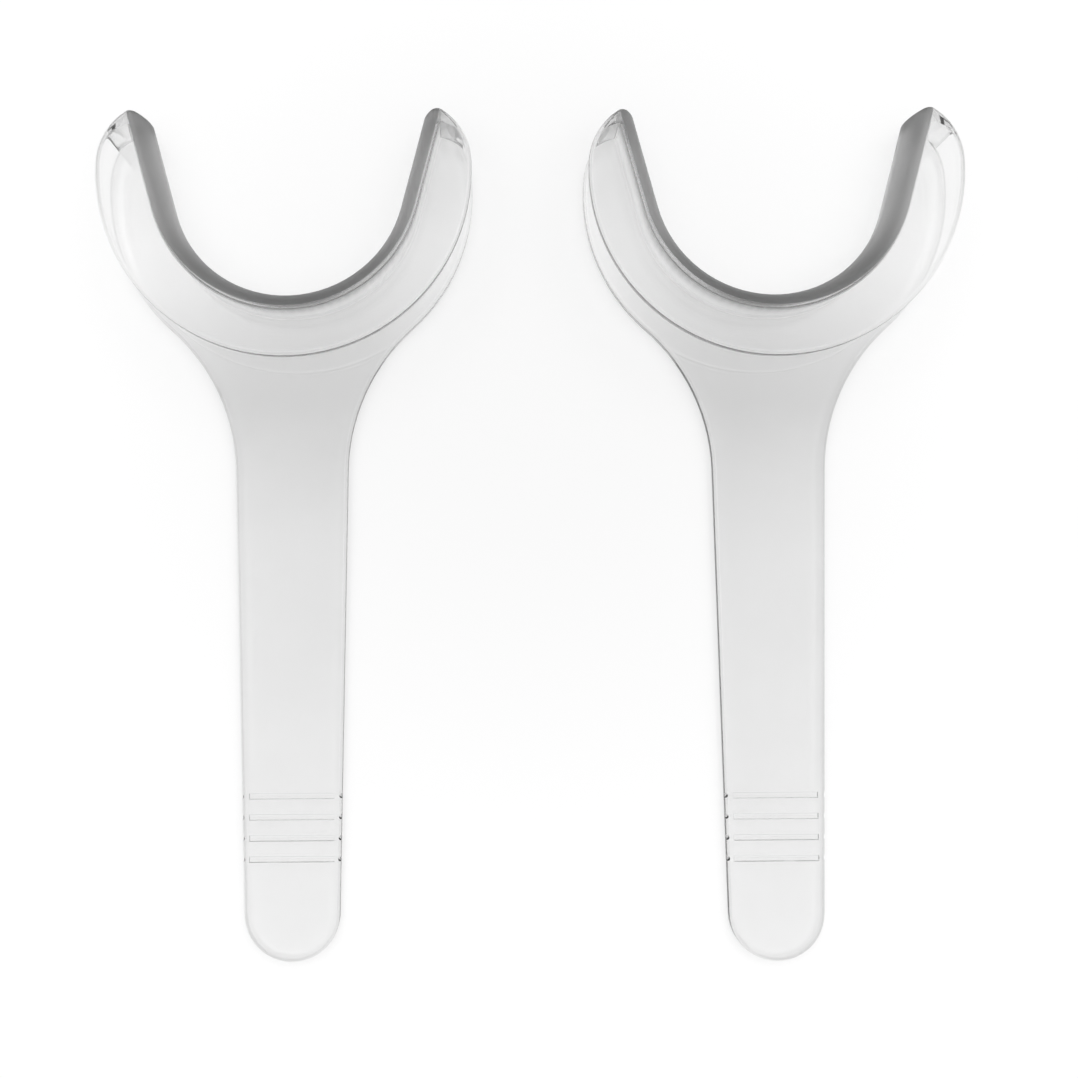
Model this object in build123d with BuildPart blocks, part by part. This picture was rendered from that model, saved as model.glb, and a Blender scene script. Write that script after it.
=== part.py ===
from build123d import *
import math
import os

os.makedirs("parts", exist_ok=True)

# A pair of one-piece clear plastic cheek retractors lying flat on a table, in millimetres.
# +Z is up, the handles point towards -Y and the U-shaped heads open towards +Y.
# Sketch positions are measured from the centre of the front flange's round outline.

# placement of the pair: the right one lies a little lower on the table
pair_spacing = 86.76
pair_stagger = 0.44
head_centre_y = 64.98

# whole head
head_depth = 12.7
flange_thickness = 2.5
web_thickness = 2.9
channel_corner_round = 0.6
front_bottom_y = -33.1
rear_bottom_y = -34.62

# inner edge of the U: a round bottom and two straight prongs that lean outwards
inner_radius = 20.97
inner_centre_y = -0.44
prong_lean = 14.92
prong_length = 26.0

# blunt ends of the prongs, and the inner face of the wall that closes the channel there
tip_inner = (22.0, 9.4)
tip_peak = (27.3, 10.88)
tip_peak_round = 1.5
shoulder_middle = (31.0, 7.5)
shoulder_end = (33.07, 1.38)
end_wall_inner_arc = [(26.5, 8.8), (29.0, 8.2), (31.6, 6.6)]

# handle
handle_top_y = -58.0
handle_top_half_width = 10.1
handle_end_y = -140.28
handle_end_radius = 8.57
flare_radius = 35.6
edge_round = 0.8

# grip
groove_count = 4
first_groove_y = -110.8
groove_pitch = 3.74
groove_length = 15.2
groove_width = 1.0
groove_depth = 0.5
notch_radius = 0.45
notch_floor = 1.0

half_depth = head_depth / 2
channel_gap = head_depth - 2 * flange_thickness
lean = math.radians(prong_lean)
end_centre_y = handle_end_y + handle_end_radius
taper = math.atan((handle_top_half_width - handle_end_radius) / (handle_top_y - end_centre_y))
left_x = -pair_spacing / 2


def level(height):
    """Horizontal plane at a height, with its origin at the left head's centre."""
    return Plane(origin=(left_x, head_centre_y, height))


def handle_half_width(y):
    """Half of the handle's width at a distance along it."""
    return handle_end_radius / math.cos(taper) + (y - end_centre_y) * math.tan(taper)


def head_outline(bottom_y):
    """Round outline of a flange, with a rounded shoulder and a blunt end on each prong."""
    shoulder = [tip_peak, shoulder_middle, shoulder_end]
    mirrored = [(-x, y) for x, y in reversed(shoulder)]
    with BuildSketch() as outline:
        with BuildLine():
            ThreePointArc(*shoulder)
            ThreePointArc(shoulder_end, (0, bottom_y), mirrored[0])
            ThreePointArc(*mirrored)
            Polyline(mirrored[-1], (-tip_inner[0], tip_inner[1]), tip_inner, tip_peak)
        make_face()
        peaks = outline.vertices().filter_by_position(Axis.Y, tip_peak[1] - 0.01, tip_peak[1] + 0.01)
        fillet(peaks, tip_peak_round)
    return outline.sketch


def mouth_outline(outset):
    """Region inside the U, grown outwards over the prongs by a distance."""
    radius = inner_radius + outset
    foot = (radius * math.cos(lean), inner_centre_y - radius * math.sin(lean))
    end = (foot[0] + 40 * math.sin(lean), foot[1] + 40 * math.cos(lean))
    with BuildSketch() as outline:
        with BuildLine():
            Line((-end[0], end[1]), (-foot[0], foot[1]))
            ThreePointArc((-foot[0], foot[1]), (0, inner_centre_y - radius), foot)
            Line(foot, end)
            Line(end, (-end[0], end[1]))
        make_face()
    return outline.sketch


def handle_outline():
    """Tapered handle with a round end, reaching up into the head's disc."""
    top_y = rear_bottom_y + 8
    low = (handle_end_radius * math.cos(taper), end_centre_y - handle_end_radius * math.sin(taper))
    top = (handle_half_width(top_y), top_y)
    with BuildSketch() as outline:
        with BuildLine():
            Polyline((-low[0], low[1]), (-top[0], top_y), top, low)
            ThreePointArc(low, (0, handle_end_y), (-low[0], low[1]))
        make_face()
    return outline.sketch


def inner_edge_path(length):
    """Inner edge of the U at mid depth, from the end of one prong round to the other."""
    foot = (inner_radius * math.cos(lean), inner_centre_y - inner_radius * math.sin(lean))
    end = (foot[0] + length * math.sin(lean), foot[1] + length * math.cos(lean))
    with BuildLine(level(half_depth)) as path:
        Line((-end[0], end[1]), (-foot[0], foot[1]))
        ThreePointArc((-foot[0], foot[1]), (0, inner_centre_y - inner_radius), foot)
        Line(foot, end)
    return path.line


def section_plane(path):
    """Plane across the end of the left prong, with its X axis pointing away from the U's opening."""
    return Plane(origin=path @ 0, x_dir=(-math.cos(lean), -math.sin(lean), 0), z_dir=path % 0)


def lip_section(plane):
    """Section of a cutter that leaves the mouth's edge as half an ellipse, as wide as the web."""
    with BuildSketch(plane) as section:
        Rectangle(web_thickness, head_depth + 2, align=(Align.MIN, Align.CENTER))
        with Locations((web_thickness, 0)):
            Ellipse(web_thickness, half_depth, mode=Mode.SUBTRACT)
        Rectangle(1, head_depth + 2, align=(Align.MAX, Align.CENTER))
    return section.sketch


def channel_section(plane):
    """Section of the channel: a slot between the flanges with rounded inner corners, open away from the U."""
    with BuildSketch(plane) as section:
        with Locations((web_thickness, 0)):
            Rectangle(16, channel_gap, align=(Align.MIN, Align.CENTER))
        fillet(section.vertices().sort_by(Axis.X)[:2], channel_corner_round)
    return section.sketch


def end_wall_outline():
    """Outlines of the walls that close the channel at the two prong ends."""
    with BuildSketch() as outline:
        for side in (-1, 1):
            arc = [(side * x, y) for x, y in end_wall_inner_arc]
            top = [(side * 34, arc[2][1]), (side * 34, 12), (side * 24, 12), (side * 24, arc[0][1])]
            with BuildLine():
                ThreePointArc(*arc)
                Polyline(arc[2], *top, arc[0])
            make_face()
        add(head_outline(front_bottom_y), mode=Mode.INTERSECT)
        add(mouth_outline(web_thickness), mode=Mode.SUBTRACT)
    return outline.sketch


def round_rims(builder, heights):
    """Round all the edges that lie flat at the given heights."""
    for height in heights:
        rims = builder.edges().filter_by_position(Axis.Z, height - 0.01, height + 0.01)
        fillet(rims, edge_round)


path = inner_edge_path(prong_length)

with BuildPart() as left_retractor:
    # rear flange and handle in one flat plate with rounded rims
    with BuildSketch(level(0)) as plate:
        add(head_outline(rear_bottom_y))
        add(handle_outline())
        fillet(plate.vertices().filter_by_position(Axis.Y, -36, -28), flare_radius)
    extrude(amount=flange_thickness)
    round_rims(left_retractor, (0, flange_thickness))

    # front flange with rounded rims
    with BuildSketch(level(head_depth - flange_thickness)):
        add(head_outline(front_bottom_y))
    extrude(amount=flange_thickness)
    round_rims(left_retractor, (head_depth - flange_thickness, head_depth))

    # web that joins the flanges round the mouth of the U
    with BuildSketch(level(flange_thickness / 2)):
        add(head_outline(front_bottom_y))
        add(mouth_outline(web_thickness + channel_corner_round), mode=Mode.INTERSECT)
    extrude(amount=head_depth - flange_thickness)
    sweep(channel_section(section_plane(path)), path=path, mode=Mode.SUBTRACT)

    # walls that close the channel at the prong ends
    with BuildSketch(level(flange_thickness / 2)):
        add(end_wall_outline())
    extrude(amount=head_depth - flange_thickness)

    # mouth of the U, with a rounded edge
    with BuildSketch(level(-1)):
        add(mouth_outline(0))
    extrude(amount=head_depth + 2, mode=Mode.SUBTRACT)
    sweep(lip_section(section_plane(path)), path=path, mode=Mode.SUBTRACT)

    # shallow grip grooves, and the small notches level with them in the upper side edges
    groove_ys = [first_groove_y - groove_pitch * number for number in range(groove_count)]
    with BuildSketch(level(flange_thickness)):
        with Locations(*[(0, y) for y in groove_ys]):
            Rectangle(groove_length, groove_width)
    extrude(amount=-groove_depth, mode=Mode.SUBTRACT)
    with BuildSketch(level(flange_thickness)):
        with Locations(*[(side * handle_half_width(y), y) for y in groove_ys for side in (-1, 1)]):
            Circle(notch_radius)
    extrude(amount=notch_floor - flange_thickness, mode=Mode.SUBTRACT)

with BuildPart() as right_retractor:
    add(left_retractor.part.moved(Location((pair_spacing, -pair_stagger, 0))))

left_retractor.part.label = "left_retractor"
right_retractor.part.label = "right_retractor"
export_step(left_retractor.part, "parts/left_retractor.step")
export_step(right_retractor.part, "parts/right_retractor.step")
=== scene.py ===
import math
import bpy
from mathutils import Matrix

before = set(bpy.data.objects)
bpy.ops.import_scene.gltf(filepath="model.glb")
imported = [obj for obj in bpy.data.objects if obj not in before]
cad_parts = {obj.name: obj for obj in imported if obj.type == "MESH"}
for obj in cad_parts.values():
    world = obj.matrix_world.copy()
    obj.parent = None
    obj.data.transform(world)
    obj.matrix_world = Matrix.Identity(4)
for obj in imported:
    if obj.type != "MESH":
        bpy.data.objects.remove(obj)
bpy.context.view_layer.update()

# U-shaped inner edge of each head, in the CAD frame, in metres
HEADS = {"left_retractor": (-0.04338, 0.06454), "right_retractor": (0.04338, 0.06410)}
INNER_RADIUS = 0.02097
PRONG_LEAN = math.radians(14.92)
WEB = 0.0029
HEAD_DEPTH = 0.0127

# body of the plastic
REFRACTION = 1.58
ABSORPTION = 15.0
FLOW_SCALE = 70.0
FLOW_DETAIL = 3.0

# grey tints, which are painted shade standing in for how the clear plastic darkens in the light, and
# are not measured
BAND_PAINTED_SHADE = 0.27
BAND_BOTTOM_PAINTED_SHADE = 0.10
BAND_ROUGHNESS = 0.55
GRIP_PAINTED_SHADE = 0.835
NECK_PAINTED_SHADE = 0.68
HEAD_PAINTED_SHADE = 0.99
FRONT_PAINTED_SHADE = 0.92
FLOW_TINT = 0.985

# where the painted shade changes: along Y from the head's centre, by height, and across the web's
# outer border
BAND_BOTTOM_Y = (-0.018, -0.006)
NECK_Y = (-0.070, -0.020)
HEAD_Y = (-0.042, -0.006)
FRONT_Y = (-0.025, 0.0)
MIDDLE_Z = (0.3 * HEAD_DEPTH, 0.6 * HEAD_DEPTH)
WEB_BORDER = (WEB - 0.00012, WEB + 0.00012)

# floor: size, gap below the pieces, and a glow that is a little dimmer near the middle, which is
# painted shadow between the pieces
FLOOR_SIZE = 4.0
FLOOR_GAP = 0.0001
FLOOR_COLOUR = (0.3, 0.3, 0.3, 1)
SHADOW_SPOT_CENTRE = (0.0, 0.025, 0.0)
SHADOW_SPOT_REACH = (0.01, 0.12)
GLOW_LEVELS_WITH_SHADOW = (0.61, 0.685)

# world: brightness by angle in degrees from a dimmer patch overhead, which tilts towards +X and +Y
PATCH_TILT = (math.radians(2.9), math.radians(9.4))
LEVELS = [(0.0, 1.15), (10.0, 1.1), (26.0, 2.0), (38.0, 2.0), (52.0, 0.5), (70.0, 0.4), (84.0, 0.8)]

# camera
LENS = 41.55
SHIFT_X = 0.0588
CAMERA_PLACE = (-0.01014, -0.01037, 0.22745)
CAMERA_TURN = (math.radians(2.67), 0.0, math.radians(-0.418))


class Graph:
    """Short calls for adding and linking shader nodes."""

    def __init__(self, tree):
        self.nodes = tree.nodes
        self.links = tree.links

    def feed(self, socket, value):
        if isinstance(value, bpy.types.NodeSocket):
            self.links.new(value, socket)
        else:
            socket.default_value = value

    def math(self, operation, *values):
        node = self.nodes.new("ShaderNodeMath")
        node.operation = operation
        for socket, value in zip(node.inputs, values):
            self.feed(socket, value)
        return node.outputs[0]

    def step(self, value, limits, at_low, at_high):
        node = self.nodes.new("ShaderNodeMapRange")
        node.interpolation_type = "SMOOTHSTEP"
        for socket, item in zip(node.inputs, (value, *limits, at_low, at_high)):
            self.feed(socket, item)
        return node.outputs["Result"]

    def noise(self, vector, scale, detail):
        node = self.nodes.new("ShaderNodeTexNoise")
        self.feed(node.inputs["Vector"], vector)
        node.inputs["Scale"].default_value = scale
        node.inputs["Detail"].default_value = detail
        return node.outputs["Fac"]


def distance_from_mouth(g, x, y):
    """Distance outwards from the U's inner edge, for a point given from the head's centre."""
    cos, sin = math.cos(PRONG_LEAN), math.sin(PRONG_LEAN)
    across = g.math("SUBTRACT", g.math("MULTIPLY", x, cos), g.math("MULTIPLY", y, sin))
    along = g.math("ADD", g.math("MULTIPLY", x, sin), g.math("MULTIPLY", y, cos))
    along = g.math("MINIMUM", along, 0.0)
    squares = g.math("ADD", g.math("MULTIPLY", across, across), g.math("MULTIPLY", along, along))
    return g.math("SUBTRACT", g.math("SQRT", squares), INNER_RADIUS)


def clear_plastic(name, centre):
    """Clear moulded plastic: glass with painted grey shade by position, and rough along the web."""
    mat = bpy.data.materials.new(name)
    mat.use_nodes = True
    mat.node_tree.nodes.clear()
    g = Graph(mat.node_tree)
    out = g.nodes.new("ShaderNodeOutputMaterial")
    shader = g.nodes.new("ShaderNodeBsdfPrincipled")
    shader.inputs["IOR"].default_value = REFRACTION
    shader.inputs["Transmission Weight"].default_value = 1.0
    g.links.new(shader.outputs["BSDF"], out.inputs["Surface"])
    body = g.nodes.new("ShaderNodeVolumeAbsorption")
    body.inputs["Color"].default_value = (0.0, 0.0, 0.0, 1.0)
    body.inputs["Density"].default_value = ABSORPTION
    g.links.new(body.outputs["Volume"], out.inputs["Volume"])

    coords = g.nodes.new("ShaderNodeTexCoord").outputs["Object"]
    split = g.nodes.new("ShaderNodeSeparateXYZ")
    g.links.new(coords, split.inputs[0])
    x = g.math("ABSOLUTE", g.math("SUBTRACT", split.outputs["X"], centre[0]))
    y = g.math("SUBTRACT", split.outputs["Y"], centre[1])
    z = split.outputs["Z"]
    distance = distance_from_mouth(g, x, y)

    # painted shade: the upper half of the lip is greyest, and more so at the bottom of the U,
    # standing in for the dark band of the web seen edge-on
    lip = g.step(y, BAND_BOTTOM_Y, BAND_BOTTOM_PAINTED_SHADE, BAND_PAINTED_SHADE)
    lip = g.step(z, MIDDLE_Z, 1.0, lip)
    band = g.step(distance, WEB_BORDER, lip, 1.0)
    # painted shade: the flat rear plate is greyest at the neck, and the front flange has a faint
    # painted shade on its prongs
    rear = g.step(y, NECK_Y, GRIP_PAINTED_SHADE, NECK_PAINTED_SHADE)
    rear = g.step(y, HEAD_Y, rear, HEAD_PAINTED_SHADE)
    front = g.step(y, FRONT_Y, 1.0, FRONT_PAINTED_SHADE)
    plate = g.step(z, MIDDLE_Z, rear, front)
    # faint flow marks
    flow = g.step(g.noise(coords, FLOW_SCALE, FLOW_DETAIL), (0.3, 0.7), FLOW_TINT, 1.0)
    shade = g.math("MULTIPLY", g.math("MULTIPLY", band, plate), flow)
    grey = g.nodes.new("ShaderNodeCombineColor")
    for channel in grey.inputs:
        g.feed(channel, shade)
    g.links.new(grey.outputs["Color"], shader.inputs["Base Color"])
    rough = g.step(distance, WEB_BORDER, BAND_ROUGHNESS, 0.0)
    g.links.new(rough, shader.inputs["Roughness"])
    return mat


def make_floor():
    """White table with a soft glow of its own."""
    bpy.ops.mesh.primitive_plane_add(size=FLOOR_SIZE, location=(0, 0, -FLOOR_GAP))
    floor = bpy.context.object
    floor.name = "floor"
    mat = bpy.data.materials.new("floor")
    mat.use_nodes = True
    g = Graph(mat.node_tree)
    bsdf = g.nodes["Principled BSDF"]
    bsdf.inputs["Base Color"].default_value = FLOOR_COLOUR
    bsdf.inputs["Roughness"].default_value = 0.9
    bsdf.inputs["Specular IOR Level"].default_value = 0.0
    bsdf.inputs["Emission Color"].default_value = (1, 1, 1, 1)
    spot = g.nodes.new("ShaderNodeVectorMath")
    spot.operation = "DISTANCE"
    g.links.new(g.nodes.new("ShaderNodeTexCoord").outputs["Object"], spot.inputs[0])
    spot.inputs[1].default_value = SHADOW_SPOT_CENTRE
    # painted shadow: the glow is dimmer near the middle, standing in for the soft shade between the
    # pieces
    glow = g.step(spot.outputs["Value"], SHADOW_SPOT_REACH, *GLOW_LEVELS_WITH_SHADOW)
    g.links.new(glow, bsdf.inputs["Emission Strength"])
    floor.data.materials.append(mat)


def make_world():
    """Soft light from all round, brightest in a ring and dimmer straight overhead."""
    peak = max(level for angle, level in LEVELS)
    world = bpy.data.worlds.new("studio")
    bpy.context.scene.world = world
    world.use_nodes = True
    g = Graph(world.node_tree)
    axis = g.nodes.new("ShaderNodeVectorMath")
    axis.operation = "DOT_PRODUCT"
    x, y = math.sin(PATCH_TILT[0]), math.sin(PATCH_TILT[1])
    axis.inputs[1].default_value = (x, y, math.sqrt(1 - x * x - y * y))
    g.links.new(g.nodes.new("ShaderNodeTexCoord").outputs["Generated"], axis.inputs[0])
    ramp = g.nodes.new("ShaderNodeValToRGB")
    elements = ramp.color_ramp.elements
    while len(elements) < len(LEVELS):
        elements.new(0.5)
    for element, (angle, level) in zip(elements, LEVELS):
        element.position = angle / 90
        element.color = (level / peak, level / peak, level / peak, 1)
    share = g.math("DIVIDE", g.math("ARCCOSINE", axis.outputs["Value"]), math.pi / 2)
    g.links.new(share, ramp.inputs["Fac"])
    g.links.new(ramp.outputs["Color"], g.nodes["Background"].inputs["Color"])
    g.nodes["Background"].inputs["Strength"].default_value = peak


def make_camera():
    """Camera looking almost straight down on the pair."""
    data = bpy.data.cameras.new("camera")
    data.sensor_width = 36.0
    data.lens = LENS
    data.shift_x = SHIFT_X
    data.clip_start = 0.005
    camera = bpy.data.objects.new("camera", data)
    bpy.context.scene.collection.objects.link(camera)
    camera.location = CAMERA_PLACE
    camera.rotation_euler = CAMERA_TURN
    bpy.context.scene.camera = camera


for name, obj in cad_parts.items():
    obj.data.materials.clear()
    obj.data.materials.append(clear_plastic("clear_plastic_" + name.split("_")[0], HEADS[name]))

make_floor()
make_world()
make_camera()
bpy.context.scene.view_settings.view_transform = "Standard"
# at its default, Filter Glossy loses much of the light that passes the plastic onto the floor
bpy.context.scene.cycles.blur_glossy = 0.0
